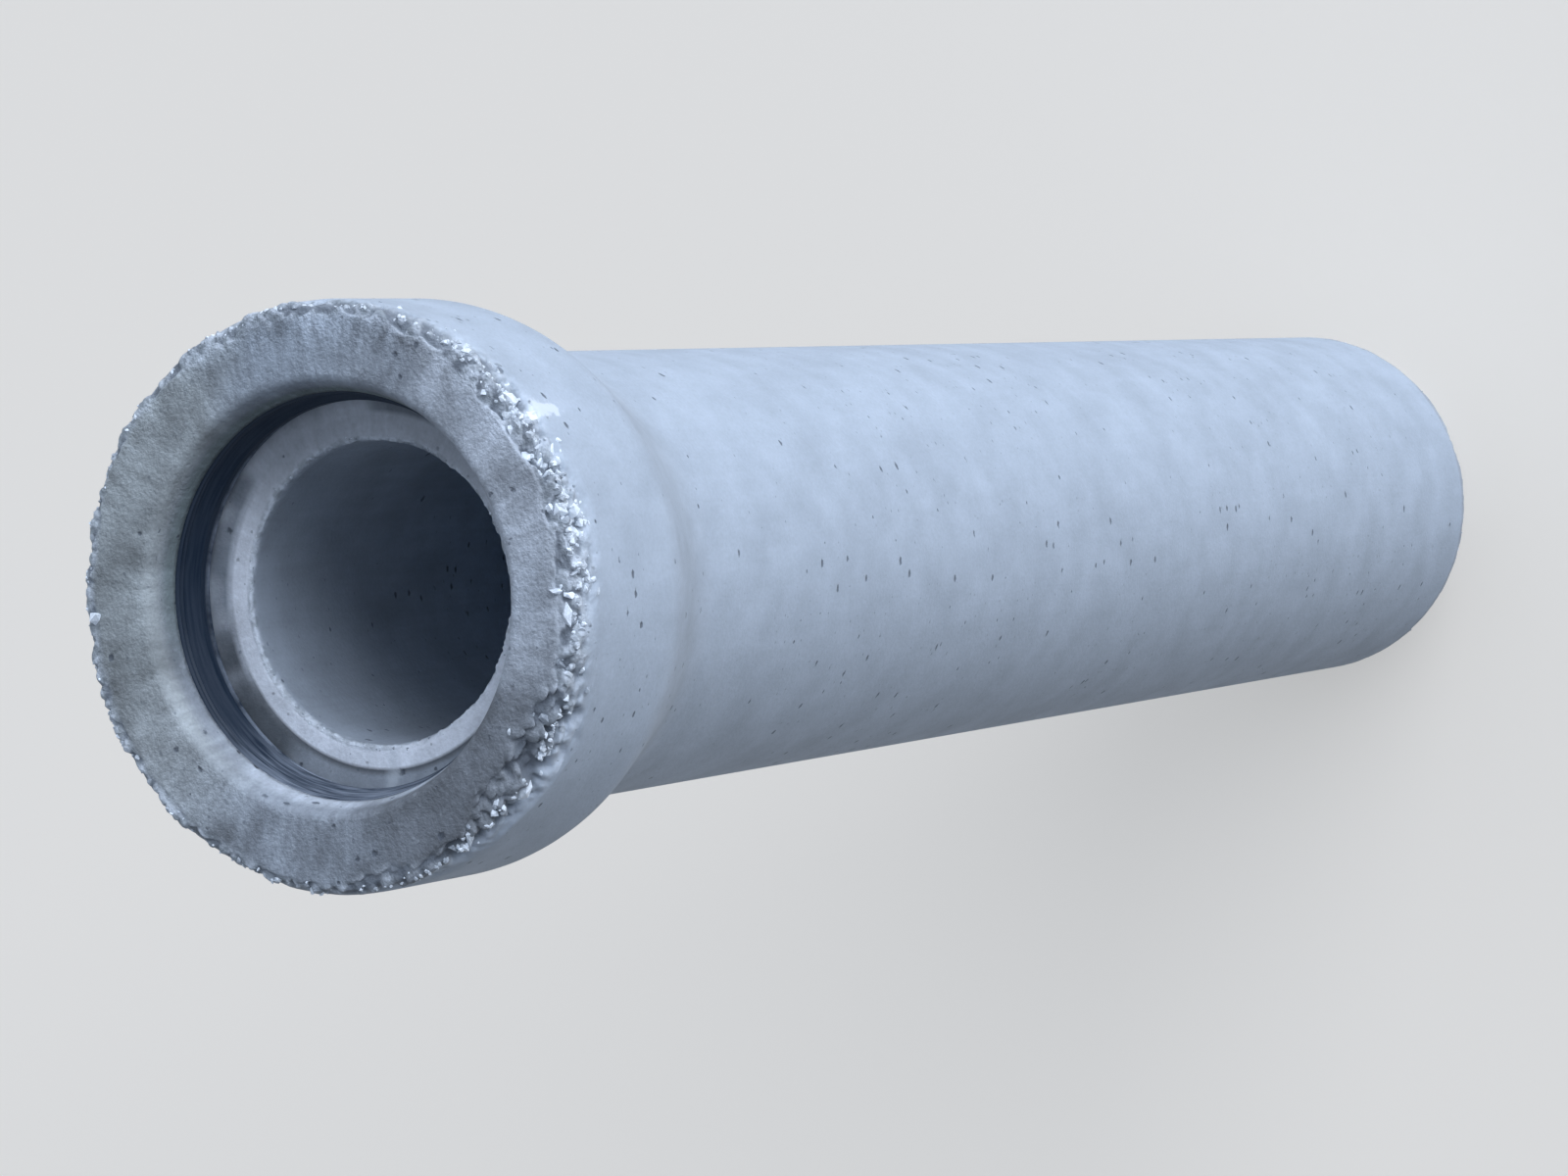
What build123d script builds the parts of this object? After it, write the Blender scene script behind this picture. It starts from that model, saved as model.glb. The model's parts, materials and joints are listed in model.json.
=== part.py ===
from build123d import *
import os

# A concrete culvert pipe with a bell at one end and a spigot at the other.
# A ring of rubber is cast into the bell's socket and seals on the next pipe's spigot.
# The pipe stands on the flat end of its spigot on a level floor, with the bell up,
# because a round pipe that lies there unheld rolls away.
# All sizes are in millimetres. Places along the pipe are depths below the bell's end face.

# Pipe
bore_radius = 150.0
barrel_wall = 85.0
laying_length = 2500.0       # from the seat in the socket to the spigot's nose
bore_edge_round = 3.0

# Bell, outside
bell_radius = 290.0
bell_length = 185.0          # from the end face to the neck, before rounding
neck_length = 140.0          # the cone from the bell down to the barrel, before rounding
bell_neck_round = 90.0
barrel_neck_round = 160.0
bell_face_round = 5.0

# Socket
socket_radius = 200.0        # at the outer end of its wall
socket_depth = 95.0          # from the bell's face to the seat
socket_draft = 1.5           # how much the wall closes in towards the seat
lip_depth = 34.0             # the flare that guides a spigot in
lip_flare = 11.0
lip_round = 9.0
seat_radius = 176.0
seat_cone_depth = 5.0        # the cone from the seal down to the seat
seat_corner_round = 3.0

# Spigot
joint_gap = 5.0              # between a spigot and the socket's wall, all round
spigot_length = 98.0         # from the nose to the shoulder
shoulder_slope = 17.0        # length of the sloping end of the barrel
shoulder_round = 7.0
root_round = 9.0
nose_round = 14.0

# Seal, which lines the socket's wall from the flare down to the cone
seal_base = 9.0              # how deep the ring is set into the wall
seal_clearance = 0.3         # behind the ring, so that the two round faces don't cut each other
seal_squeeze = 4.0           # how far the lip has to give way to a spigot
seal_lip_ramp = 16.0
seal_lip_land = 8.0
seal_lip_back = 4.0
seal_lip_round = 2.0
seal_rib_height = 2.5
seal_rib_width = 5.0
seal_rib_round = 1.0
seal_rib_count = 2
seal_heel_height = 6.5       # the ridge beside the seat
seal_heel_width = 11.0
seal_heel_round = 2.5
seal_inset = 1.5             # plain rubber between two ridges and at both edges of the ring

# Worked out from the sizes above
barrel_radius = bore_radius + barrel_wall
spigot_radius = socket_radius - joint_gap
groove_radius = socket_radius + seal_base
seal_land_radius = spigot_radius - seal_squeeze
total_length = socket_depth + laying_length
shoulder_at = total_length - spigot_length
seal_start = lip_depth
seal_end = socket_depth - seat_cone_depth


def wall_radius(depth):
    """The radius of the socket's wall at a depth from the bell's face."""
    return socket_radius - socket_draft * (depth - seal_start) / (seal_end - seal_start)


# Every section is drawn in this plane: its X runs down the axis from the middle of the bell's face,
# and its Y is the distance out from the axis
section = Plane(origin=(0, 0, total_length), x_dir=(0, 0, -1), z_dir=(0, -1, 0))
pipe_axis = Axis(section.origin, section.x_dir)

# Each corner of the concrete's half section, with the radius that rounds it
concrete_corners = [
    ((0, socket_radius + lip_flare), lip_round),
    ((0, bell_radius), bell_face_round),
    ((bell_length, bell_radius), bell_neck_round),
    ((bell_length + neck_length, barrel_radius), barrel_neck_round),
    ((shoulder_at, barrel_radius), shoulder_round),
    ((shoulder_at + shoulder_slope, spigot_radius), root_round),
    ((total_length, spigot_radius), nose_round),
    ((total_length, bore_radius), bore_edge_round),
    ((socket_depth, bore_radius), bore_edge_round),
    ((socket_depth, seat_radius), seat_corner_round),
    ((seal_end, wall_radius(seal_end)), 0),
    ((seal_end, groove_radius), 0),
    ((seal_start, groove_radius), 0),
    ((seal_start, wall_radius(seal_start)), 0),
]

with BuildPart() as concrete_pipe:
    with BuildSketch(section):
        with BuildLine():
            FilletPolyline(
                [corner for corner, radius in concrete_corners],
                radius=[radius for corner, radius in concrete_corners],
                close=True,
            )
        make_face()
    revolve(axis=pipe_axis)


def ridge_corners(start, width, height, rounding):
    """A ridge that starts at a depth from the bell's face, highest in its middle."""
    middle, end = start + width / 2, start + width
    return [
        ((start, wall_radius(start)), rounding),
        ((middle, wall_radius(middle) - height), rounding),
        ((end, wall_radius(end)), rounding),
    ]


def lip_corners(end):
    """The sealing lip: a ramp for the spigot, a land and a steep back that ends at a depth."""
    land_end = end - seal_lip_back
    land_start = land_end - seal_lip_land
    start = land_start - seal_lip_ramp
    return [
        ((start, wall_radius(start)), seal_lip_round),
        ((land_start, seal_land_radius), seal_lip_round),
        ((land_end, seal_land_radius), 0),
        ((end, wall_radius(end)), 0),
    ]


heel_start = seal_end - seal_inset - seal_heel_width
seal_back_radius = groove_radius - seal_clearance
seal_corners = [((seal_start, seal_back_radius), 0), ((seal_start, wall_radius(seal_start)), 0)]
for i in range(seal_rib_count):
    rib_start = seal_start + seal_inset + i * (seal_rib_width + seal_inset)
    seal_corners += ridge_corners(rib_start, seal_rib_width, seal_rib_height, seal_rib_round)
seal_corners += lip_corners(heel_start - seal_inset)
seal_corners += ridge_corners(heel_start, seal_heel_width, seal_heel_height, seal_heel_round)
seal_corners += [((seal_end, wall_radius(seal_end)), 0), ((seal_end, seal_back_radius), 0)]

with BuildPart() as socket_seal:
    with BuildSketch(section):
        with BuildLine():
            FilletPolyline(
                [corner for corner, radius in seal_corners],
                radius=[radius for corner, radius in seal_corners],
                close=True,
            )
        make_face()
    revolve(axis=pipe_axis)

os.makedirs("parts", exist_ok=True)

concrete_pipe.part.label = "concrete_pipe"
export_step(concrete_pipe.part, "parts/concrete_pipe.step")

socket_seal.part.label = "socket_seal"
export_step(socket_seal.part, "parts/socket_seal.step")

pipe_size = concrete_pipe.part.bounding_box().size
print(f"The pipe is {pipe_size.Z:.1f} mm high and {pipe_size.X:.1f} mm across its bell")
print(f"Concrete {concrete_pipe.part.volume / 1e9:.4f} m3, seal {socket_seal.part.volume / 1e3:.1f} cm3")
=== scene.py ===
# %% [markdown]
# # A concrete culvert pipe, dressed around its CAD frame
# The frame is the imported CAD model: one casting of concrete with a bell and a spigot, and a ring of
# rubber cast into the bell's socket. It gives the sizes and the places. What is missing is the
# surface: the ragged crumbs that cement leaves where the mould's rings met, the small air holes, the
# stains on the end and the smears on the rubber. Each step below adds one of them.

# %% Load the CAD frame
import json
from collections import namedtuple
from math import ceil, cos, pi, radians, sin, tan
from random import Random

import bmesh
import bpy
from mathutils import Matrix, Vector, noise
from mathutils.bvhtree import BVHTree
from mathutils.geometry import intersect_point_line


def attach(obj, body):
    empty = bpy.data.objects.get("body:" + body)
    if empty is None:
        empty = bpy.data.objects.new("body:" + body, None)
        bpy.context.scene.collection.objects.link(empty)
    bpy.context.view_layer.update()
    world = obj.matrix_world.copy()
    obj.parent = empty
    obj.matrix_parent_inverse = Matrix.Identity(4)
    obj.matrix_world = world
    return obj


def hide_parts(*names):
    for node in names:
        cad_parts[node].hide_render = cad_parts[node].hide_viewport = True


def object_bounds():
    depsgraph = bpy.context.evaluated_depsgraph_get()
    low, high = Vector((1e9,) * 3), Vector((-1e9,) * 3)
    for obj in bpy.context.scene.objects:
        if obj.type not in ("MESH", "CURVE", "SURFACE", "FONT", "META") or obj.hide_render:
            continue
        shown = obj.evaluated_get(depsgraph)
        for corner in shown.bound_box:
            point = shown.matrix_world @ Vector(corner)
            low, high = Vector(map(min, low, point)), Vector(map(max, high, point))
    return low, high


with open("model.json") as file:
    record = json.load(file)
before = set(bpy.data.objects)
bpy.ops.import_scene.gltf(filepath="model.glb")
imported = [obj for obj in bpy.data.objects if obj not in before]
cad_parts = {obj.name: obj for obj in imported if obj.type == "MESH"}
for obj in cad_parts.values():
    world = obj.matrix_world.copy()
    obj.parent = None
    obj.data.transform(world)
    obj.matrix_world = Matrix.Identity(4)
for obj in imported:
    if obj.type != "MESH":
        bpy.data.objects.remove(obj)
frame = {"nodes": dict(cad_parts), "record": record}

mm = 0.001
scene = bpy.context.scene
cad_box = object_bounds()
total_length = cad_box[1].z
print("CAD box, metres:", [tuple(round(c, 3) for c in corner) for corner in cad_box])

# %% [markdown]
# ## The camera
# In the photograph the pipe lies on its side and we look into its bell. The stored pipe stands on
# its spigot, so the same view comes from above. A camera can be turned about its own line of sight,
# so we build its axes by hand: it looks from its place to the pipe's middle, and the world's +X,
# which was the pipe's upper side while it lay, is up in the picture. The world's -Y is then right.

# %% Place the camera
camera_place = Vector((0.29, -2.64, 6.53))
camera_target = Vector((-0.055, 0.13, 1.42))
picture_up = Vector((1, 0, 0))

camera_data = bpy.data.cameras.new("camera")
camera_data.lens = 112
camera_data.clip_end = 200
camera = bpy.data.objects.new("camera", camera_data)
scene.collection.objects.link(camera)
scene.camera = camera

back = (camera_place - camera_target).normalized()
right = picture_up.cross(back).normalized()
camera_axes = Matrix((right, back.cross(right), back)).transposed()
camera.matrix_world = Matrix.Translation(camera_place) @ camera_axes.to_4x4()
print("The camera is", round((camera_place - camera_target).length, 2), "m from the pipe's middle")

# %% [markdown]
# ## Nodes in one call
# The light, the floor and every material are trees of nodes. In the editor each node is added,
# set and linked by hand. Here a few helpers do that in one call each, and an input takes either a
# plain value or the output of another node, so a tree reads like a sum.

# %% Make the helpers for nodes and values


def feed(tree, socket, value):
    """Gives an input a plain value, or a link where the value is another node's output."""
    if isinstance(value, bpy.types.NodeSocket):
        tree.links.new(value, socket)
    else:
        socket.default_value = value


def add(tree, kind, inputs=None, **settings):
    """Adds a node with its settings and inputs."""
    made = tree.nodes.new("ShaderNode" + kind)
    for name, value in settings.items():
        setattr(made, name, value)
    for name, value in (inputs or {}).items():
        feed(tree, made.inputs[name], value)
    return made


def maths(tree, operation, first, second=0.0, third=0.0, clamp=False):
    """The output of a math node on two values, or on three for a multiply-add."""
    values = {0: first, 1: second, 2: third}
    return add(tree, "Math", values, operation=operation, use_clamp=clamp).outputs[0]


def product(tree, *values):
    """Two or more values multiplied."""
    total = values[0]
    for value in values[1:]:
        total = maths(tree, "MULTIPLY", total, value)
    return total


# %% Make the helpers for vectors


def vector_maths(tree, operation, first, second):
    """The output of a vector math node on two vectors."""
    return add(tree, "VectorMath", {0: first, 1: second}, operation=operation).outputs[0]


def length(tree, vector):
    """The length of a vector."""
    return add(tree, "VectorMath", {0: vector}, operation="LENGTH").outputs["Value"]


def times(tree, vector, *factors):
    """A vector made longer or shorter, or a colour made lighter or darker, by some factors."""
    for factor in factors:
        scaled = {0: vector, "Scale": factor}
        vector = add(tree, "VectorMath", scaled, operation="SCALE").outputs[0]
    return vector


def parts_of(tree, vector):
    """The X, Y and Z of a vector."""
    return add(tree, "SeparateXYZ", {0: vector}).outputs


# %% Make the helpers for colours and looks


def ramp(tree, value, low, high, start=0.0, end=1.0):
    """A value spread smoothly from start to end while it goes from low to high."""
    ends = {"Value": value, "From Min": low, "From Max": high, "To Min": start, "To Max": end}
    return add(tree, "MapRange", ends, interpolation_type="SMOOTHSTEP").outputs[0]


def mix(tree, share, first, second):
    """Two colours mixed: the second has the share."""
    return add(tree, "Mix", {0: share, 6: first, 7: second}, data_type="RGBA").outputs[2]


def new_look(name, roughness):
    """A material with its node tree and shader."""
    look = bpy.data.materials.new(name)
    look.use_nodes = True
    shader = look.node_tree.nodes["Principled BSDF"]
    shader.inputs["Roughness"].default_value = roughness
    return look, look.node_tree, shader


def seen_directly(tree):
    """A value that is 1 for the camera, for reflections and through glass, and 0 for other light."""
    path = add(tree, "LightPath").outputs
    seen = maths(tree, "MAXIMUM", path["Is Camera Ray"], path["Is Glossy Ray"])
    return maths(tree, "MAXIMUM", seen, path["Is Transmission Ray"])


# %% [markdown]
# ## The light
# The light on the real pipe is open shade: bluish from the sky above, and weaker from below. The
# world gives it, and it is brightest towards +X, which is up in the picture. Lamps all round could
# do the same, but the world does it with two strengths. A sun with a wide disc adds the brighter
# part of the sky. The camera and the reflections see a plain pale backdrop instead.

# %% Light the scene
scene.view_settings.view_transform = "Standard"

sky_low, sky_high = 0.12, 0.82
sky_colour = (0.88, 1.0, 1.2, 1)
backdrop_colour = (0.72, 0.73, 0.74, 1)
sun_from, sun_strength, sun_spread = Vector((0.74, -0.6, 0.24)), 3.3, radians(60)
sun_colour = (0.93, 1.0, 1.12)

world = bpy.data.worlds.new("studio")
scene.world = world
world.use_nodes = True
sky = world.node_tree
sky.nodes.clear()

upwards = parts_of(sky, add(sky, "TexCoord").outputs["Generated"])["X"]
sky_ends = {"Value": upwards, "From Min": -1, "From Max": 1, "To Min": sky_low, "To Max": sky_high}
sky_strength = add(sky, "MapRange", sky_ends).outputs[0]
lighting = add(sky, "Background", {"Color": sky_colour, "Strength": sky_strength}).outputs[0]
backdrop = add(sky, "Background", {"Color": backdrop_colour}).outputs[0]
both = add(sky, "MixShader", {0: seen_directly(sky), 1: lighting, 2: backdrop}).outputs[0]
add(sky, "OutputWorld", {"Surface": both})

sun_data = bpy.data.lights.new("bright_sky", "SUN")
sun_data.energy = sun_strength
sun_data.angle = sun_spread
sun_data.color = sun_colour
sun = bpy.data.objects.new("bright_sky", sun_data)
sun.rotation_euler = sun_from.to_track_quat("Z", "Y").to_euler()
scene.collection.objects.link(sun)
print("Sky strength from", sky_low, "to", sky_high, "and sun strength", sun_strength)

# %% [markdown]
# ## The floor
# The floor keeps the pipe's shadow. It has one tone for the light that it throws back at the pipe,
# and a paler one for the camera. There it also glows a little, so that it ends in the backdrop
# without a line, and no more light falls on the pipe for it.

# %% Lay the floor
floor_size = 120
floor_tone, floor_seen = (0.5, 0.46, 0.41, 1), (0.81, 0.746, 0.665, 1)
floor_glow, glow_share = (0.94, 0.95, 0.95, 1), 0.4

floor_mesh = bpy.data.meshes.new("floor")
floor_build = bmesh.new()
bmesh.ops.create_grid(floor_build, x_segments=1, y_segments=1, size=floor_size / 2)
floor_build.to_mesh(floor_mesh)
floor_build.free()
floor = bpy.data.objects.new("floor", floor_mesh)
scene.collection.objects.link(floor)

floor_look, tree, matt = new_look("floor", 0.9)
matt.inputs["Specular IOR Level"].default_value = 0.1
feed(tree, matt.inputs["Base Color"], mix(tree, seen_directly(tree), floor_tone, floor_seen))
glow = add(tree, "Emission", {"Color": floor_glow}).outputs[0]
share = maths(tree, "MULTIPLY", seen_directly(tree), glow_share)
blend = add(tree, "MixShader", {0: share, 1: matt.outputs[0], 2: glow}).outputs[0]
feed(tree, tree.nodes["Material Output"].inputs["Surface"], blend)
floor_mesh.materials.append(floor_look)
print("The floor is", floor_size, "m wide")

# %% [markdown]
# ## The casting's half section
# The casting is one turned solid. The CAD model's own mesh has long thin triangles that can't be
# roughened, so we make its skin anew in the same sizes. Its whole form is one outline beside the
# axis. We draw the outline's corners as vertices joined by edges, round each corner with a vertex
# bevel, and cut the straight runs into rows: close rows where the surface will be ragged, wide rows
# where it is plain.

# %% Name the sizes
mounts = {mount["name"]: mount for mount in frame["record"]["mounts"]}
bore_radius = mounts["bore"]["dims"]["r_mm"] * mm
barrel_radius = mounts["barrel"]["dims"]["r_mm"] * mm
spigot_radius = mounts["spigot"]["dims"]["r_mm"] * mm
bell_radius = cad_box[1].x
bell_length, neck_length = 185 * mm, 140 * mm
socket_depth, seat_radius = 95 * mm, 176 * mm
socket_radius, wall_at_seat = 200 * mm, 198.5 * mm
lip_depth, lip_flare, seal_end = 34 * mm, 11 * mm, 90 * mm
groove_radius = 209 * mm
spigot_length, shoulder_slope = 98 * mm, 17 * mm
shoulder_at = total_length - spigot_length
root_at = shoulder_at + shoulder_slope

# How far the ragged bands reach: on the bell's face and its side, each way from the shoulder, on
# the nose, and in the bore at the nose and at the seat
rim_face_width, rim_side_width = 46 * mm, 52 * mm
shoulder_band = 26 * mm
nose_band, nose_bore_band, seat_bore_band = 15 * mm, 18 * mm, 15 * mm
print(f"Bore {bore_radius:.3f}, barrel {barrel_radius:.3f}, bell {bell_radius:.3f} m")

# %% Draw the outline
# A corner has a depth below the bell's face and a distance out from the axis. rows is the height of
# the rows on the run that starts there, and rounding is the radius that rounds it, in some steps.
Corner = namedtuple("Corner", "depth out rows rounding steps", defaults=(0, 0))
ragged = 3 * mm

outline = [
    Corner(0, socket_radius + lip_flare, rows=7 * mm, rounding=9 * mm, steps=4),
    Corner(0, bell_radius - rim_face_width, rows=ragged),
    Corner(0, bell_radius, rows=ragged, rounding=5 * mm, steps=2),
    Corner(rim_side_width, bell_radius, rows=14 * mm),
    Corner(bell_length, bell_radius, rows=20 * mm, rounding=90 * mm, steps=4),
    Corner(bell_length + neck_length, barrel_radius, rows=90 * mm, rounding=160 * mm, steps=6),
    Corner(shoulder_at - shoulder_band, barrel_radius, rows=ragged),
    Corner(shoulder_at, barrel_radius, rows=ragged, rounding=7 * mm, steps=3),
    Corner(root_at, spigot_radius, rows=4 * mm, rounding=9 * mm, steps=3),
    Corner(root_at + shoulder_band, spigot_radius, rows=12 * mm),
    Corner(total_length, spigot_radius, rows=7 * mm, rounding=14 * mm, steps=5),
    Corner(total_length, bore_radius + nose_band, rows=ragged),
    Corner(total_length, bore_radius, rows=ragged, rounding=3 * mm, steps=2),
    Corner(total_length - nose_bore_band, bore_radius, rows=120 * mm),
    Corner(socket_depth + seat_bore_band, bore_radius, rows=ragged),
    Corner(socket_depth, bore_radius, rows=4 * mm, rounding=3 * mm, steps=2),
    Corner(socket_depth, seat_radius, rows=6 * mm, rounding=3 * mm, steps=2),
    Corner(seal_end, wall_at_seat, rows=20 * mm),
    Corner(seal_end, groove_radius, rows=60 * mm),
    Corner(lip_depth, groove_radius, rows=20 * mm),
    Corner(lip_depth, socket_radius, rows=5 * mm),
]

body = bmesh.new()
corners = [body.verts.new((spot.out, 0, total_length - spot.depth)) for spot in outline]
corner_places = [corner.co.copy() for corner in corners]
for pair in zip(corners, corners[1:] + corners[:1]):
    body.edges.new(pair)
print("Corners:", len(corners))

# %% Round the corners and cut the runs into rows


def round_corner(corner, radius, steps):
    """Rounds a corner of the outline: a vertex bevel whose reach along both runs fits the radius."""
    arms = [(edge.other_vert(corner).co - corner.co).normalized() for edge in corner.link_edges]
    reach = radius * tan((pi - arms[0].angle(arms[1])) / 2)
    bmesh.ops.bevel(
        body, geom=[corner], offset=reach, offset_type="OFFSET", segments=steps,
        profile=0.5, affect="VERTICES", material=-1,
    )


def row_height(edge):
    """The height of the rows on the run of the outline that an edge lies on."""
    middle = (edge.verts[0].co + edge.verts[1].co) / 2

    def distance_off(i):
        start, end = corner_places[i], corner_places[(i + 1) % len(corner_places)]
        share = intersect_point_line(middle, start, end)[1]
        return (middle - start.lerp(end, min(max(share, 0), 1))).length

    return outline[min(range(len(outline)), key=distance_off)].rows


for corner, spot in zip(corners, outline):
    if spot.rounding:
        round_corner(corner, spot.rounding, spot.steps)
for edge in list(body.edges):
    cuts = ceil(edge.calc_length() / row_height(edge) - 0.01) - 1
    if cuts > 0:
        bmesh.ops.subdivide_edges(body, edges=[edge], cuts=cuts)
print("Points on the outline:", len(body.verts))

# %% [markdown]
# ## Turning the outline
# One spin makes the pipe's skin. With use_merge the last step is joined to the first, so there is no
# seam. The bell's ragged rim needs smaller faces than the rest, so only its band is divided once
# more. The new points lie on the chords between the old ones, a hundredth of a millimetre inside
# the round.

# %% Spin the outline
steps_around = 320
bmesh.ops.spin(
    body, geom=body.verts[:] + body.edges[:], axis=(0, 0, 1), cent=(0, 0, 0),
    angle=2 * pi, steps=steps_around, use_merge=True,
)
bmesh.ops.remove_doubles(body, verts=body.verts[:], dist=0.01 * mm)
bmesh.ops.recalc_face_normals(body, faces=body.faces[:])


def place_of(point):
    """A point's depth below the bell's face, and its distance out from the axis."""
    return total_length - point.z, point.xy.length


def on_rim(point):
    """Whether a point lies in the ragged band round the bell's rim."""
    depth, out = place_of(point)
    return depth < rim_side_width + mm and out > bell_radius - rim_face_width - mm


rim_edges = [edge for edge in body.edges if all(on_rim(vert.co) for vert in edge.verts)]
bmesh.ops.subdivide_edges(body, edges=rim_edges, cuts=1, use_grid_fill=True)
print("Faces:", len(body.faces), "triangles:", sum(len(face.verts) - 2 for face in body.faces))

# %% [markdown]
# ## Noise for the damage and the stains
# Nothing here may differ from run to run, so all unevenness comes from noise that depends on the
# place alone. Cloudy noise gives soft patches. A cell pattern gives lumps, and pulling the place
# about before the look-up makes the cells uneven.

# %% Make the noises
pull_shifts = [Vector((0, 0, 0)), Vector((9.2, 3.1, 5.7)), Vector((4.4, 8.3, 1.9))]
pull_size, pull_strength = 1.7, 0.7


def smooth_step(value):
    """0 up to a value of 0 and 1 from a value of 1 on, with a soft bend at both ends."""
    value = min(max(value, 0), 1)
    return value * value * (3 - 2 * value)


def fractal(point, size, octaves=3):
    """Cloudy noise from about -1 to 1 with lumps of a size in metres."""
    return noise.fractal(point / size, 1.0, 2.0, octaves)


def lumps(point, size):
    """How far a point is from the middle of its cell, in uneven cells of a size in metres: 0 to 1."""
    spot = point / size
    pull = Vector([noise.noise(spot / pull_size + shift) for shift in pull_shifts])
    return noise.voronoi(spot + pull_strength * pull)[0][0]


# %% [markdown]
# ## Where the bell was knocked
# The bell was knocked most on the side that is right in the picture, and worst low down on that
# side, where the soiled cement is bitten off. These functions say how hard each place was hit. The
# broken edges, the paint and the crumbs all ask them, so the three agree.

# %% Say where the bell was knocked
knocked_side = Vector((0.05, -1, 0)).normalized()
worst_side = Vector((-0.78, -0.63, 0)).normalized()
knock_patch, worst_patch = 110 * mm, 70 * mm
calm_knock, full_knock, uneven_knock = 0.24, 0.66, 0.22
worst_from, worst_over = 0.8, 0.15


def knocks(point):
    """How hard the bell's rim was knocked at a point: from about 0.2 up to 1 on the knocked side."""
    side = point.xy.normalized().dot(knocked_side.xy)
    uneven = uneven_knock * fractal(point, knock_patch, 2)
    return calm_knock + full_knock * smooth_step(1.25 * side - 0.2) + uneven


def worst(point):
    """How near a point is to the place low down on the knocked side where the bell is worst: 0 to 1."""
    along = point.xy.normalized().dot(worst_side.xy)
    uneven = 0.5 * fractal(point, worst_patch, 2)
    return smooth_step((along - worst_from) / worst_over + uneven)


def bites(point):
    """How hard the rim was bitten into: as it was knocked, and hardest at the worst place."""
    return knocks(point) + 0.5 * worst(point)


def clean_knocks(point):
    """How hard the rim was knocked where its crumbs still stand loose and pale."""
    return knocks(point) * (1 - 0.45 * worst(point))


def evenly(point):
    """The same force all round."""
    return 1


# %% [markdown]
# ## Making it ragged
# Cement that squeezes out between the mould's rings breaks off when the mould opens. It leaves lumps
# and bites along every such edge: round the bell's face, at the shoulder, and where the bore meets
# the seat and the spigot's nose. Each edge is a circle, so one function serves them all. It pushes
# the points near the circle into the wall by an amount that a cell pattern gives: little in the
# middle of a cell, much between cells. A bump in the material alone would leave the outline smooth.
# Each point also notes how broken it is, and how much painted shade its hollows get, for the materials.

# %% Break the edges
broken = body.verts.layers.float.new("broken")
hollow_shade = body.verts.layers.float.new("hollow_shade")
furthest = 1.6


def break_edge(depth, out, into, reach, size, bite, force=evenly, dark=1.0):
    """Crumbles the wall round the circle at a depth and a distance out.

    into is the way into the wall as (down, outwards), reach is how far the damage spreads,
    size is a lump's size, bite the deepest bite, force how hard each place was hit, and dark how
    much of the hollows is noted as painted shade. Nothing further off than furthest times reach is
    touched."""
    into_down, into_out = Vector(into).normalized()
    for vert in body.verts:
        vert_depth, vert_out = place_of(vert.co)
        away = Vector((vert_depth - depth, vert_out - out)).length
        if away > reach * furthest:
            continue
        point = vert.co.copy()
        hit = force(point)

        # A soft hit reaches less far, and its edge wanders
        local_reach = reach * (0.35 + 0.65 * hit) * (1 + 0.5 * fractal(point, 6 * size))
        weight = smooth_step(1.25 - 1.25 * away / local_reach)
        if weight <= 0:
            continue

        # Hollows lie between the lumps and are pocked, and here and there a whole chunk is out
        hollow = smooth_step(lumps(point, size) * 1.6 - 0.3)
        pocked = hollow * (0.5 + 0.5 * fractal(point, size * 0.4, 2))
        chunk = smooth_step(0.45 + 1.3 * fractal(point, 3.5 * size))
        crumbly = smooth_step(0.5 + 1.2 * fractal(point, 5 * size))
        depth_here = (0.15 + 0.35 * crumbly) * hollow + 0.3 * pocked + 0.45 * chunk
        amount = weight * bite * (0.3 + 0.7 * hit) * depth_here
        outwards = Vector((point.x, point.y, 0)).normalized()
        vert.co += amount * (into_out * outwards - into_down * Vector((0, 0, 1)))
        vert[broken] = max(vert[broken], weight)
        # The hollows are noted for painted shade
        vert[hollow_shade] = max(vert[hollow_shade], dark * weight * (0.75 * hollow + 0.25 * pocked))


break_edge(
    0, bell_radius, into=(0.45, -1), reach=38 * mm, size=15 * mm, bite=18 * mm, force=bites,
)
break_edge(
    shoulder_at + 6 * mm, barrel_radius - 6 * mm, into=(0, -1), reach=17 * mm, size=9 * mm,
    bite=8 * mm,
)
break_edge(
    total_length, bore_radius, into=(-0.6, 1), reach=9 * mm, size=10 * mm, bite=9 * mm, dark=0.6,
)
break_edge(
    socket_depth, bore_radius, into=(0.5, 1), reach=8 * mm, size=8 * mm, bite=4 * mm, dark=0.25,
)
print("Broken points:", sum(vert[broken] > 0 for vert in body.verts))

# %% [markdown]
# ## Painting the zones
# The steel mould, the form ring in the socket and the weather each leave their own colour, and some
# zones also carry painted light and shade. A material for each zone would end in a hard line. We
# store the plain colour of every zone on the points, so that the zones blend, and one material can
# serve the whole casting and add the fine patterns itself. A second value says how much an area is
# stained, and a third how many air holes the mould left there. Every zone of the bell has a short
# function of its own. In them, up is 1 at the top of the bell as the picture shows it and -1 at the
# bottom, and left is 1 at its left.

# %% Choose the paints


def grey(level, warmth=0.0):
    """A paint for cement: a level of light, bluish as under an open sky, or warmer."""
    return Vector((level * (0.88 + warmth), level, level * (1.16 - warmth)))


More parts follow.
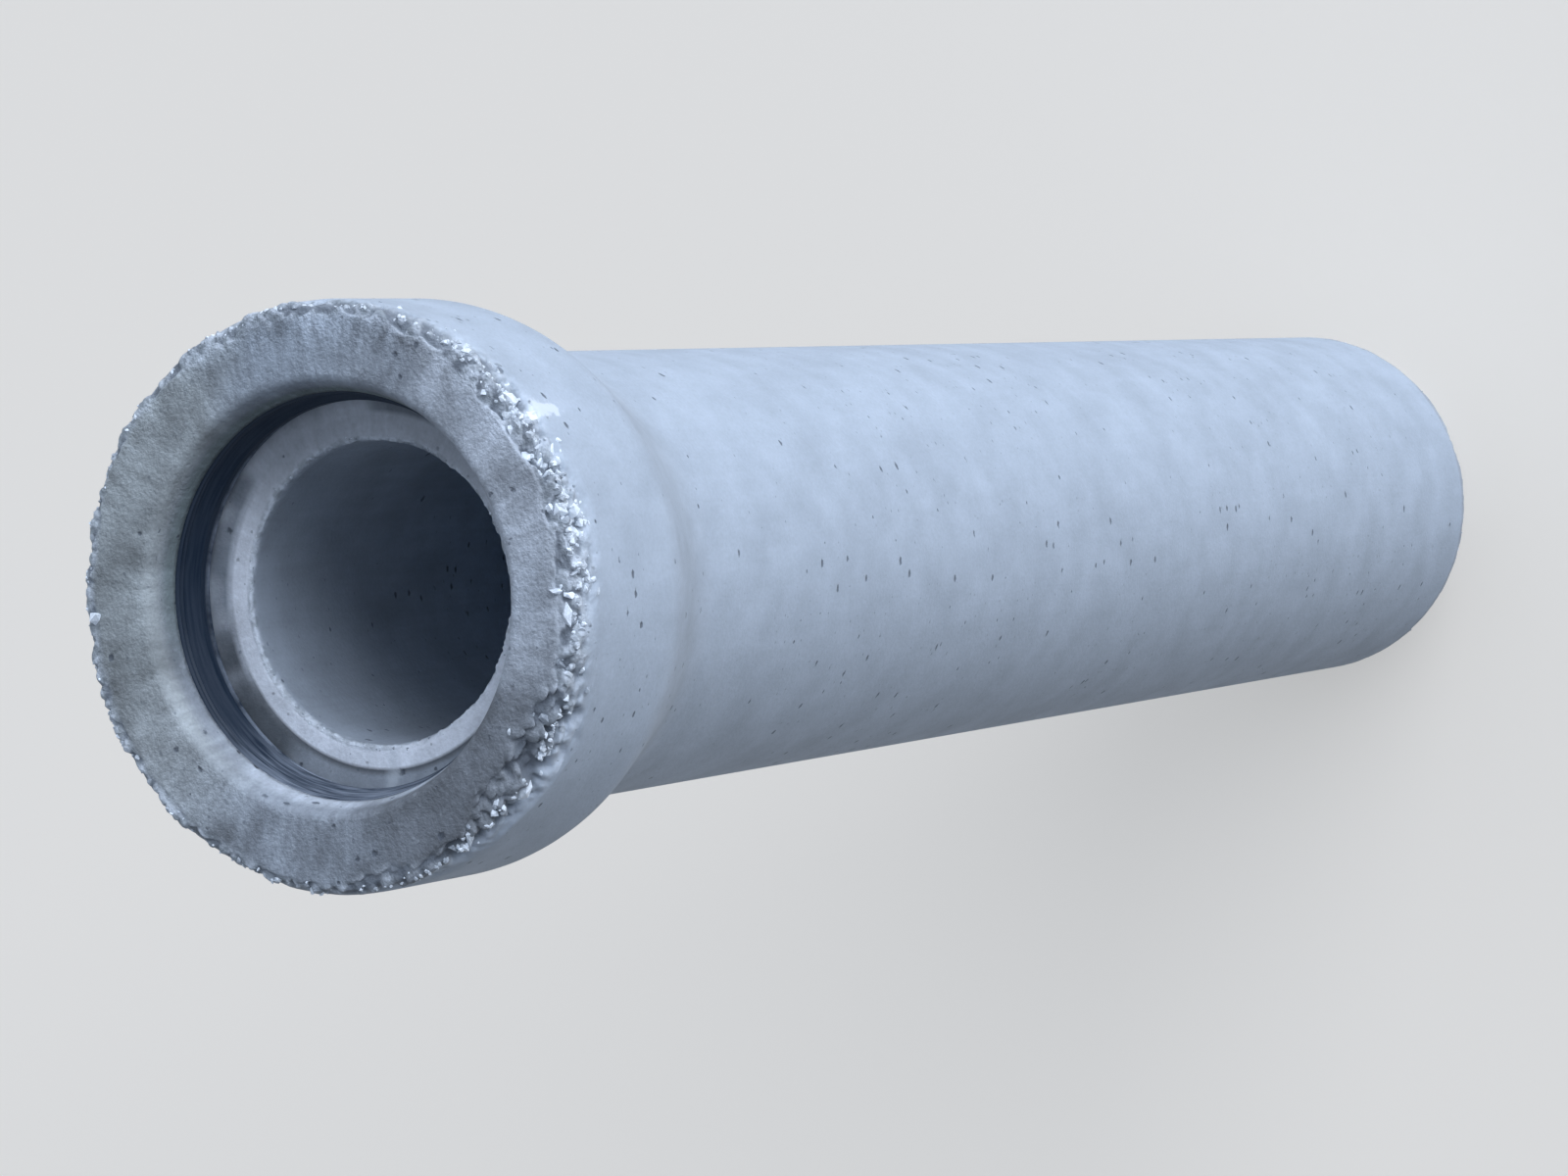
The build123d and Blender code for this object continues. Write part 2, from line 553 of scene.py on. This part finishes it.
mould_grey, dried_grey = grey(0.46, -0.01), grey(0.66, 0.01)
shoulder_grey, spigot_grey, nose_grey = grey(0.39, 0.02), grey(0.47), grey(0.46, 0.03)
face_above, face_below, face_right = grey(0.31, -0.01), grey(0.265, 0.01), grey(0.38, 0.03)
soiled_grey, edge_shadow = grey(0.12, 0.02), grey(0.1)
face_left, face_left_painted_shade = Vector((0.36, 0.39, 0.4)), Vector((0.25, 0.275, 0.285))
flare_shade, flare_light = grey(0.21, 0.01), grey(0.46, 0.03)
flare_deep_shade = Vector((0.15, 0.185, 0.195))
cone_grey, cone_dark, cone_low = grey(0.2, -0.01), grey(0.08, -0.03), grey(0.27)
seat_grey, seat_shade_and_dabs = grey(0.75, 0.06), grey(0.48, 0.04)
bore_grey, bore_deep_light = grey(0.38), grey(0.62, -0.06)

# %% Paint the bell's face and rim
streak_from, streak_over = 240 * mm, 30 * mm


def ways_of(point):
    """How far up and how far left a point is on the bell in the picture, both from -1 to 1."""
    out = point.xy.length
    return point.x / out, point.y / out


def paint_face(point):
    """The bell's face: cloudy, palest at the right, paler and less blue at the left with painted shade
    there, and soiled at the worst place.
    """
    up, left = ways_of(point)
    cloudy = fractal(point, 120 * mm, 2)
    face = face_below.lerp(face_above, smooth_step(0.5 + 0.6 * up + 0.5 * cloudy))
    face = face.lerp(face_right, smooth_step(0.5 * up - 1.3 * left - 0.3 - 0.5 * cloudy))
    face = face.lerp(face_left, 0.8 * smooth_step(1.5 * left - 0.4))
    # Painted shade at the left of the face
    in_left_painted_shade = smooth_step((0.95 * left + 0.3 * up + 0.3 * cloudy - 0.75) / 0.2)
    face = face.lerp(face_left_painted_shade, 0.8 * in_left_painted_shade)
    return face.lerp(soiled_grey, 0.85 * worst(point))


def paint_rim(point):
    """The face and the bell's side next to it, and how stained they are."""
    up = ways_of(point)[0]
    depth, out = place_of(point)
    off_face = smooth_step((depth - 9 * mm) / (12 * mm))
    # A painted shadow darkens the face's outer edge at the top
    near_edge = smooth_step(1 - abs(out - bell_radius + 4 * mm) / (4 * mm))
    face = paint_face(point).lerp(edge_shadow, 0.7 * near_edge * smooth_step(2 * up - 0.8))
    dried = smooth_step(0.1 + 2 * fractal(point, 26 * mm, 2)) * worst(point)
    side = mould_grey.lerp(dried_grey, dried)
    streaked = 0.75 + 0.5 * smooth_step(up) * smooth_step((out - streak_from) / streak_over)
    return face.lerp(side, off_face), streaked * (1 - 0.85 * off_face)


# %% Paint the socket


def paint_flare(point):
    """The flare at the socket's mouth: painted light at the bottom, painted shade at the top, and
    deeper painted shade further in, except at the bottom.
    """
    up = ways_of(point)[0]
    depth, out = place_of(point)
    flare = flare_shade.lerp(flare_light, smooth_step(-0.62 - 1.6 * up))
    # Deeper painted shade further into the flare
    in_deep_shade = smooth_step((depth - 12 * mm) / (12 * mm)) * smooth_step(1 + 2 * up)
    flare = flare.lerp(flare_deep_shade, in_deep_shade)
    return flare.lerp(paint_face(point), smooth_step((out - socket_radius - 3 * mm) / (5 * mm)))


def paint_seat_edge(point):
    """The corner between the seat and the cone: a painted shadow line, but not at the top and the left,
    where it has the seat's painted shade.
    """
    up, left = ways_of(point)
    in_shadow_line = smooth_step(0.5 - 1.2 * up - 0.6 * left - 0.4 * fractal(point, 60 * mm, 2))
    return seat_shade_and_dabs.lerp(edge_shadow, in_shadow_line)


def paint_seat(point):
    """The pale seat with painted shade at its top, and the cone beside it: dark, darkest low at the
    left, and paler at the bottom and where cement has dabbed it.
    """
    up, left = ways_of(point)
    on_cone = smooth_step((point.xy.length - seat_radius + 2 * mm) / (6 * mm))
    # Painted shade darkens the seat towards its top
    on_seat = seat_grey.lerp(seat_shade_and_dabs, smooth_step(1.6 * up - 0.3))
    low_left = 0.707 * (left - up)
    cone = cone_grey.lerp(cone_dark, smooth_step((low_left - 0.7) / 0.25))
    cone = cone.lerp(cone_low, smooth_step((-up - 0.8) / 0.15))
    dabbed = smooth_step(0.1 + 0.5 * left + 0.6 * up + 1.2 * fractal(point, 45 * mm, 2))
    cone = cone.lerp(seat_shade_and_dabs, (0.6 + 0.4 * smooth_step(2 * up)) * dabbed)
    return on_seat.lerp(cone, on_cone)


# %% Paint the zones
tint = body.verts.layers.float_color.new("tint")
stained = body.verts.layers.float.new("stained")
pitted = body.verts.layers.float.new("pitted")
hole_patch = 300 * mm
bore_deep_from, bore_deep_over = 200 * mm, 500 * mm


def paint_of(point):
    """The colour of the zone that a point lies in, and how stained that zone is."""
    depth, out = place_of(point)
    in_socket = out < socket_radius + 16 * mm and depth < socket_depth + 12 * mm
    if out < bore_radius + 2 * mm and socket_depth + 3 * mm < depth < total_length - 4 * mm:
        # Painted light: the bore is painted paler further in
        deep = smooth_step((depth - bore_deep_from) / bore_deep_over)
        return bore_grey.lerp(bore_deep_light, deep), 0.15
    if in_socket and abs(out - seat_radius) < 2 * mm and depth > socket_depth - 2 * mm:
        return paint_seat_edge(point), 0.25
    if in_socket and depth > seal_end - mm:
        return paint_seat(point), 0.25
    if in_socket:
        return paint_flare(point), 0.6
    if depth < 40 * mm and out > socket_radius:
        return paint_rim(point)
    if depth > total_length - 15 * mm and out < spigot_radius - 8 * mm:
        return nose_grey, 0.25
    if depth > root_at:
        return spigot_grey, 0.1
    if depth > shoulder_at - 15 * mm:
        return shoulder_grey, 0.25
    return mould_grey, 0.08


for vert in body.verts:
    colour, stain = paint_of(vert.co)
    vert[tint] = (*colour, 1)
    vert[stained] = stain
    vert[broken] *= 1 - 0.6 * worst(vert.co)
    vert[pitted] = 0.3 + 1.4 * smooth_step(0.5 + 1.2 * fractal(vert.co, hole_patch, 2))
print("Most stained:", round(max(vert[stained] for vert in body.verts), 2))

# %% [markdown]
# ## The crumbs
# On the real rim the crumbs are separate angular grains that stand proud and catch the light. The
# skin's own points could be pushed out for them, but never into loose grains. So each one is an
# icosphere of twenty faces, squashed, turned and with its points pushed about, so that no two are
# alike. It is set into the broken surface where a search tree finds it. The same random numbers come
# out at each run, because the generator is seeded.

# %% Make one crumb
seed = 11
draw = Random(seed)
skin = BVHTree.FromBMesh(body)
grains = bmesh.new()
tone = grains.verts.layers.float.new("tone")


def random_turn():
    """A random turn in space."""
    axis = Vector((draw.gauss(0, 1), draw.gauss(0, 1), draw.gauss(0, 1))).normalized()
    return Matrix.Rotation(draw.uniform(0, 2 * pi), 4, axis)


def add_crumb(place, size, shade):
    """A small angular grain at a place."""
    squash = Matrix.Diagonal((size, size * draw.uniform(0.6, 1), size * draw.uniform(0.45, 0.85), 1))
    made = bmesh.ops.create_icosphere(
        grains, subdivisions=1, radius=1, matrix=Matrix.Translation(place) @ random_turn() @ squash
    )
    for vert in made["verts"]:
        vert.co = place + (vert.co - place) * draw.uniform(0.6, 1.3)
        vert[tone] = shade


# %% Scatter the crumbs


def scatter(count, depths, outs, sizes, force=evenly, power=1.5, palest=0.0):
    """Tries a number of places near a ring and sets a crumb into the skin at some of them.

    depths and outs are each given as (least, most, likeliest), sizes as (smallest, largest). A
    higher power keeps the crumbs more to where the force is, and palest is their least shade."""
    smallest, largest = sizes
    for _ in range(count):
        angle = draw.uniform(0, 2 * pi)
        depth, out = draw.triangular(*depths), draw.triangular(*outs)
        aim = Vector((out * cos(angle), out * sin(angle), total_length - depth))
        place = skin.find_nearest(aim)[0]
        size = smallest + (largest - smallest) * draw.random() ** 1.8
        clumped = 0.6 + 0.8 * fractal(place, 25 * mm, 2) + 0.6 * fractal(place, 80 * mm, 2)
        if clumped * force(place) ** power > draw.random():
            outside = sum((near[1] for near in skin.find_nearest_range(place, size)), Vector())
            add_crumb(place - outside.normalized() * size * 0.3, size, draw.uniform(palest, 1))


# Pale lumps on the knocked side of the rim
scatter(
    480, (0, 38 * mm, 8 * mm), (bell_radius - 32 * mm, bell_radius, bell_radius - 6 * mm),
    (5 * mm, 13 * mm), clean_knocks, power=4, palest=0.45,
)
# Grit between them
scatter(
    1500, (0, 42 * mm, 5 * mm), (bell_radius - 24 * mm, bell_radius, bell_radius),
    (2 * mm, 7 * mm), clean_knocks, power=3,
)
# Lumps at the worst place, which reach further in on the face
scatter(
    160, (0, 26 * mm, 2 * mm), (bell_radius - 62 * mm, bell_radius, bell_radius - 14 * mm),
    (4 * mm, 10 * mm), worst, power=2, palest=0.1,
)
# Grit all round the rim
scatter(
    700, (0, 14 * mm, 2 * mm), (bell_radius - 12 * mm, bell_radius, bell_radius),
    (1.5 * mm, 5 * mm), palest=0.2,
)
# Grit at the shoulder
scatter(
    1000, (shoulder_at - 12 * mm, root_at + 4 * mm, shoulder_at + 6 * mm),
    (spigot_radius, barrel_radius, barrel_radius), (1.1 * mm, 3.6 * mm),
)
# Grit where the bore meets the seat
scatter(
    150, (socket_depth - mm, socket_depth + 5 * mm, socket_depth),
    (bore_radius - mm, bore_radius + 9 * mm, bore_radius), (0.9 * mm, 2.4 * mm),
)
bmesh.ops.recalc_face_normals(grains, faces=grains.faces[:])
print("Crumbs:", len(grains.verts) // 12, "faces:", len(grains.faces))

# %% [markdown]
# ## Patterns that several materials share
# Each pattern is a shader node group with named inputs and outputs, sizes in metres. They read the
# object's own coordinates, so they stick to the pipe.

# %% Make the helpers for patterns


def new_pattern(name, inputs, outputs):
    """A node group with value inputs and outputs, each input with its default."""
    tree = bpy.data.node_groups.new(name, "ShaderNodeTree")
    for label, value in inputs.items():
        socket = tree.interface.new_socket(label, in_out="INPUT", socket_type="NodeSocketFloat")
        socket.default_value = value
    for label in outputs:
        tree.interface.new_socket(label, in_out="OUTPUT", socket_type="NodeSocketFloat")
    return tree, tree.nodes.new("NodeGroupInput").outputs, tree.nodes.new("NodeGroupOutput").inputs


def use(tree, pattern, **inputs):
    """A pattern's node group put to use in a material. Returns its outputs."""
    node = tree.nodes.new("ShaderNodeGroup")
    node.node_tree = pattern
    for name, value in inputs.items():
        feed(tree, node.inputs[name.capitalize()], value)
    return node.outputs


def own_place(tree):
    """A point's place in the object's own coordinates."""
    return add(tree, "TexCoord").outputs["Object"]


def cloud(tree, place, size, detail=4.0, roughness=0.55):
    """Noise around 0.5 with patches of a size in metres, where size is a value or an output."""
    scale = maths(tree, "DIVIDE", 1.0, size)
    inputs = {"Vector": place, "Scale": scale, "Detail": detail, "Roughness": roughness}
    return add(tree, "TexNoise", inputs).outputs[0]


def around_one(tree, noise_value, strength):
    """A factor that swings around 1 with a noise value, as far as a strength says."""
    swing = maths(tree, "MULTIPLY_ADD", noise_value, 4.0, -2.0)
    return maths(tree, "MULTIPLY_ADD", swing, strength, 1.0)


# %% [markdown]
# ### Air holes
# Air that is caught against the mould leaves little round pits. They are too many and too small to
# model, so the material draws them, with a relief. Each cell of a cell pattern draws lots: some
# cells have a pit of their own radius in their middle. The pits are a little lower than they are
# wide. Noise on Wobble makes their outlines uneven.

# %% Make the air holes
pit_squash, pit_depth = 1.7, 1.5
holes, given, results = new_pattern(
    "air_holes", {"Spacing": 80 * mm, "Radius": 3 * mm, "Share": 0.5, "Wobble": 0.5},
    ["Hole", "Depth"],
)
squeezed = vector_maths(holes, "MULTIPLY", own_place(holes), (1, 1, pit_squash))
cells = add(holes, "TexVoronoi", {
    "Vector": squeezed, "Scale": maths(holes, "DIVIDE", 1.0, given["Spacing"]), "Randomness": 1.0,
})
lots = add(holes, "SeparateColor", {0: cells.outputs["Color"]}).outputs
wobble = maths(holes, "ADD", given["Wobble"], 0.5)
away = product(holes, cells.outputs["Distance"], given["Spacing"], wobble)
own_radius = maths(holes, "MULTIPLY", given["Radius"], maths(holes, "ADD", lots[1], 0.35))
near = maths(holes, "SUBTRACT", 1.0, maths(holes, "DIVIDE", away, own_radius), clamp=True)
chosen = maths(holes, "LESS_THAN", lots[0], given["Share"])
pit = maths(holes, "MULTIPLY", near, chosen)

# Hole is 1 inside a pit, and Depth is in millimetres
feed(holes, results["Hole"], ramp(holes, pit, 0.0, 0.45))
feed(holes, results["Depth"], maths(holes, "MULTIPLY", ramp(holes, pit, 0.0, 0.8), -pit_depth))
print("Inputs of the air holes:", [socket.name for socket in given if socket.name])

# %% [markdown]
# ### Streaks
# Water that runs and a mould that is pulled off leave streaks, drawn out round the axis, across it
# or along it. A noise makes them. The place that it reads is first wrapped on a ring of one radius,
# so that the streaks meet without a seam.

# %% Make the streaks
ring_radius = 200 * mm
streaks, given, results = new_pattern(
    "streaks", {"Around": 20 * mm, "Outwards": 20 * mm, "Along": 20 * mm, "Strength": 0.3},
    ["Factor"],
)
place_parts = parts_of(streaks, own_place(streaks))
flat = add(streaks, "CombineXYZ", {0: place_parts[0], 1: place_parts[1]}).outputs[0]
ring = add(streaks, "VectorMath", {0: flat}, operation="NORMALIZE").outputs[0]
wrapped = times(streaks, ring, maths(streaks, "DIVIDE", ring_radius, given["Around"]))
out_steps = maths(streaks, "DIVIDE", length(streaks, flat), given["Outwards"])
along_steps = maths(streaks, "DIVIDE", place_parts[2], given["Along"])
lift = add(streaks, "CombineXYZ", {2: maths(streaks, "ADD", out_steps, along_steps)}).outputs[0]
spot = vector_maths(streaks, "ADD", wrapped, lift)
drawn = add(streaks, "TexNoise", {"Vector": spot, "Scale": 1.0, "Detail": 2.0}).outputs[0]
feed(streaks, results["Factor"], around_one(streaks, drawn, given["Strength"]))
print("Inputs of the streaks:", [socket.name for socket in given if socket.name])

# %% [markdown]
# ### The drip
# A drip of cement dried where it ran down to the lowest point of the socket, over the ring and the
# seat. It is a strip beside the plane that goes through the axis and the bottom of the picture,
# leaning a little, and it ends at the seat and near the ring's outer end.

# %% Make the drip
drip_lean = -tan(radians(6))
drip_from, drip_full = -100 * mm, -140 * mm
drip_wander = 20 * mm
drip, given, results = new_pattern("cement_drip", {"Width": 10 * mm, "Wander": 0.5}, ["Drip"])
across, upwards, height = (parts_of(drip, own_place(drip))[i] for i in (1, 0, 2))
sideways = maths(drip, "ADD", across, maths(drip, "MULTIPLY", upwards, drip_lean))
wander = maths(drip, "SUBTRACT", given["Wander"], 0.5)
sideways = maths(drip, "MULTIPLY_ADD", wander, drip_wander, sideways)
off_strip = maths(drip, "DIVIDE", maths(drip, "ABSOLUTE", sideways), given["Width"])
strip = ramp(drip, off_strip, 1.3, 0.2)
at_bottom = ramp(drip, upwards, drip_from, drip_full)
seat_height, mouth_height = total_length - socket_depth, total_length - lip_depth
above_seat = ramp(drip, height, seat_height - 2 * mm, seat_height)
below_mouth = ramp(drip, height, mouth_height - 8 * mm, total_length - seal_end + 14 * mm)
feed(drip, results["Drip"], product(drip, strip, at_bottom, above_seat, below_mouth))
print("Inputs of the drip:", [socket.name for socket in given if socket.name])

# %% [markdown]
# ## The concrete
# The painted zone colour is the start. Wide clouds and fine grain make it uneven, and more so where
# it is stained. Air holes are darkened with painted shade, crumbled places are pale with painted shade
# in their hollows, and a smear of cement sits on the bell beside its rim.

# %% Start the concrete with the painted zones


def attribute(tree, name, output="Fac"):
    """A value or a colour that the points carry."""
    return add(tree, "Attribute", attribute_name=name).outputs[output]


concrete, tree, shader = new_look("cast_concrete", 0.85)
is_broken, is_hollow_shade, is_stained = (attribute(tree, name) for name in ("broken", "hollow_shade", "stained"))
place = own_place(tree)
fine_cloud = cloud(tree, place, 3.5 * mm, 1.0)
mottle = cloud(tree, place, 10 * mm, 2.0)

blotch_strength = maths(tree, "MULTIPLY_ADD", is_stained, 0.55, 0.06)
blotches = around_one(tree, cloud(tree, place, 60 * mm, 3.0), blotch_strength)
smudge_strength = maths(tree, "MULTIPLY", is_stained, 0.3)
smudges = use(
    tree, streaks, around=10 * mm, outwards=40 * mm, along=100 * mm, strength=smudge_strength,
)["Factor"]
grain = around_one(tree, fine_cloud, maths(tree, "MULTIPLY_ADD", is_stained, 0.1, 0.04))
colour = times(tree, attribute(tree, "tint", "Color"), blotches, smudges, grain)

# %% Add the air holes, the flecks and the specks
hole_shade_dark, fleck_pale, speck_dark = (0.06, 0.075, 0.1, 1), (0.5, 0.55, 0.6, 1), (0.08, 0.1, 0.12, 1)
hole_share = maths(tree, "MULTIPLY", attribute(tree, "pitted"), 0.4)
big_holes = use(tree, holes, spacing=26 * mm, radius=4.2 * mm, share=hole_share, wobble=fine_cloud)
small_holes = use(tree, holes, spacing=14 * mm, radius=2 * mm, share=hole_share, wobble=fine_cloud)
hole = maths(tree, "MAXIMUM", big_holes["Hole"], maths(tree, "MULTIPLY", small_holes["Hole"], 0.6))
# Painted shade darkens the air holes
colour = mix(tree, maths(tree, "MULTIPLY", hole, 0.75), colour, hole_shade_dark)

flecks = product(tree, ramp(tree, mottle, 0.62, 0.74), is_stained, 0.25)
specks = product(tree, ramp(tree, mottle, 0.38, 0.28), is_stained, 0.3)
colour = mix(tree, flecks, colour, fleck_pale)
colour = mix(tree, specks, colour, speck_dark)

# %% Show the broken places
crumbled_dark, crumbled_pale = (0.3, 0.34, 0.38, 1), (0.62, 0.68, 0.76, 1)
hollow_shade_dark = (0.1, 0.12, 0.15, 1)
crumbled = mix(tree, ramp(tree, mottle, 0.38, 0.62), crumbled_dark, crumbled_pale)
colour = mix(tree, maths(tree, "MULTIPLY", is_broken, 0.7), colour, crumbled)
# Painted shade darkens the hollows between the lumps
colour = mix(tree, ramp(tree, is_hollow_shade, 0.25, 0.75, 0.0, 0.75), colour, hollow_shade_dark)

# %% Add the smear beside the rim and the drip
smear_pale, drip_pale = (0.66, 0.72, 0.8, 1), (0.5, 0.55, 0.61, 1)
smear_angle, smear_depth = radians(50), 40 * mm
smear_halves = (30 * mm, 13 * mm, 36 * mm)
smear_raggedness, smear_fades, smear_full = 2.6, 2.25, 1.9
smear_place = (
    bell_radius * cos(smear_angle), -bell_radius * sin(smear_angle), total_length - smear_depth,
)
wander = cloud(tree, place, 20 * mm, 3.0)

offset = vector_maths(tree, "SUBTRACT", place, smear_place)
turn = {"Vector": offset, "Angle": smear_angle}
offset = add(tree, "VectorRotate", turn, rotation_type="Z_AXIS").outputs[0]
offset = vector_maths(tree, "MULTIPLY", offset, [1 / half for half in smear_halves])
off_smear = maths(tree, "MULTIPLY_ADD", wander, smear_raggedness, length(tree, offset))
smear = ramp(tree, off_smear, smear_fades, smear_full)
colour = mix(tree, maths(tree, "MULTIPLY", smear, 0.85), colour, smear_pale)
dripped = use(tree, drip, width=9 * mm, wander=wander)["Drip"]
colour = mix(tree, maths(tree, "MULTIPLY", dripped, 0.5), colour, drip_pale)
feed(tree, shader.inputs["Base Color"], colour)

# %% Give the concrete its relief
rough = maths(tree, "MAXIMUM", is_stained, is_broken)
rough_height = maths(tree, "MULTIPLY_ADD", rough, 2.4, 0.4)
height = maths(tree, "MULTIPLY", cloud(tree, place, 5 * mm, 2.0, 0.65), rough_height)
height = maths(tree, "ADD", height, big_holes["Depth"])


def set_relief(tree, shader, height, strength):
    """Gives a shader the look of a relief whose height is in millimetres."""
    relief = add(tree, "Bump", {"Height": height, "Distance": mm, "Strength": strength})
    feed(tree, shader.inputs["Normal"], relief.outputs[0])


set_relief(tree, shader, height, 0.8)
print("Nodes in the concrete:", len(tree.nodes))

# %% [markdown]
# ## The crumbs' cement
# Freshly broken cement is paler than its skin, and every grain turns another side to the light. Each
# grain carries a shade of its own, and a fine cloud keeps it from looking like plastic.

# %% Make the crumbs' material
crumb_dark, crumb_pale = (0.3, 0.34, 0.39, 1), (0.8, 0.87, 0.95, 1)
crumb_look, tree, shader = new_look("broken_cement", 0.7)
place = own_place(tree)
uneven = maths(tree, "SUBTRACT", cloud(tree, place, 3 * mm), 0.5)
shade = maths(tree, "ADD", attribute(tree, "tone"), uneven)
feed(tree, shader.inputs["Base Color"], mix(tree, ramp(tree, shade, 0.1, 0.9), crumb_dark, crumb_pale))
set_relief(tree, shader, cloud(tree, place, 1.5 * mm), 0.5)
print("Nodes in the crumbs' cement:", len(tree.nodes))

# %% [markdown]
# ## The rubber
# The seal is dull black rubber. Cement water has dried on it as a thin pale film, thickest at the
# bottom where it ran, and on the ridge beside the seat. Where the film is, the rubber shines less.
# The ring's ribs and its lip are in the CAD model, so it keeps that mesh and only gets a material.

# %% Make the rubber's material
rubber_black, film_grey = (0.006, 0.016, 0.034, 1), (0.3, 0.345, 0.42, 1)
ridge_height = total_length - seal_end + 7 * mm
run_from, run_full = -120 * mm, -200 * mm
rubber, tree, shader = new_look("seal_rubber", 0.55)
place = own_place(tree)
upwards, height = (parts_of(tree, place)[i] for i in (0, 2))

lower = ramp(tree, upwards, run_from, run_full)
run = use(tree, streaks, around=50 * mm, outwards=4 * mm, along=4 * mm, strength=0.5)["Factor"]
low_film = maths(tree, "ADD", maths(tree, "MULTIPLY", lower, 0.6), 0.05)
film = maths(tree, "MULTIPLY", ramp(tree, run, 0.5, 1.4), low_film)
off_ridge = maths(tree, "ABSOLUTE", maths(tree, "SUBTRACT", height, ridge_height))
dabs = ramp(tree, cloud(tree, place, 30 * mm), 0.3, 0.6)
ridge_film = product(tree, ramp(tree, off_ridge, 5 * mm, mm), dabs, 0.5)
film = maths(tree, "ADD", film, ridge_film, clamp=True)
dripped = use(tree, drip, width=8 * mm, wander=cloud(tree, place, 20 * mm, 3.0))["Drip"]
film = maths(tree, "MAXIMUM", film, maths(tree, "MULTIPLY", dripped, 0.5))

feed(tree, shader.inputs["Base Color"], mix(tree, film, rubber_black, film_grey))
feed(tree, shader.inputs["Roughness"], ramp(tree, film, 0.0, 0.5, 0.5, 0.85))
shader.inputs["Specular IOR Level"].default_value = 0.2
set_relief(tree, shader, cloud(tree, place, 3 * mm), 0.25)
frame["nodes"]["socket_seal"].data.materials[0] = rubber
print("Nodes in the rubber:", len(tree.nodes))

# %% [markdown]
# ## The objects
# The casting and its crumbs are two pieces that ride on the frame and take the place of the plain
# concrete. The casting is shaded smooth, because its rounds are made of flat rows. The crumbs stay
# flat, because broken cement has sharp edges.

# %% Make the objects


def make_piece(name, build, look, smooth):
    """Turns a build into an object that replaces the frame's plain pipe."""
    mesh = bpy.data.meshes.new(name)
    build.to_mesh(mesh)
    build.free()
    mesh.materials.append(look)
    if smooth:
        mesh.shade_smooth()
    else:
        mesh.shade_flat()
    piece = bpy.data.objects.new(name, mesh)
    scene.collection.objects.link(piece)
    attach(piece, "root")
    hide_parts("concrete_pipe")


make_piece("pipe_casting", body, concrete, smooth=True)
make_piece("edge_crumbs", grains, crumb_look, smooth=False)
